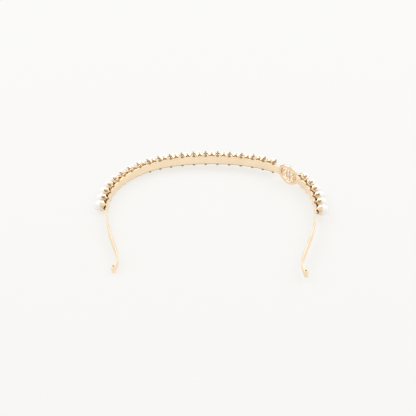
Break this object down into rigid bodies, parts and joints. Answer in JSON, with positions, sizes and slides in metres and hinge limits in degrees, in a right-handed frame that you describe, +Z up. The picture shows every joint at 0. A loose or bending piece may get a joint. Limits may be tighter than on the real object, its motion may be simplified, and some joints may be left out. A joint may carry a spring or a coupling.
{
  "type": "headband",
  "caption": "Open pearl headband: a gilded strip with pearls in round arched collets, a pierced oval medallion with small cut crystals, and bare legs with curled ends",
  "frame": {"origin": "centre of the bounding box's bottom face, on the surface that the headband lies on", "axes": "+Z up; +Y toward the middle of the pearl row, so the open end faces -Y; X across the head from leg to leg, with the medallion on the +X side"},
  "size_m": [0.1272, 0.1234, 0.0116],
  "materials": {
    "gilt": "pale gold plating, satin on the strip and polished on the collets",
    "pearl": "white pearl lustre",
    "crystal": "clear, faceted and polished"
  },
  "bodies": {
    "root": {"gilt_band": "gilt", "pearl_01": "pearl", "pearl_02": "pearl", "pearl_03": "pearl", "pearl_04": "pearl", "pearl_05": "pearl", "pearl_06": "pearl", "pearl_07": "pearl", "pearl_08": "pearl", "pearl_09": "pearl", "pearl_10": "pearl", "pearl_11": "pearl", "pearl_12": "pearl", "pearl_13": "pearl", "pearl_14": "pearl", "pearl_15": "pearl", "pearl_16": "pearl", "pearl_17": "pearl", "pearl_18": "pearl", "pearl_19": "pearl", "pearl_20": "pearl", "pearl_21": "pearl", "pearl_22": "pearl", "pearl_23": "pearl", "pearl_24": "pearl", "pearl_25": "pearl", "crystal_01": "crystal", "crystal_02": "crystal", "crystal_03": "crystal", "crystal_04": "crystal", "crystal_05": "crystal", "crystal_06": "crystal", "crystal_07": "crystal"}
  },
  "joints": []
}
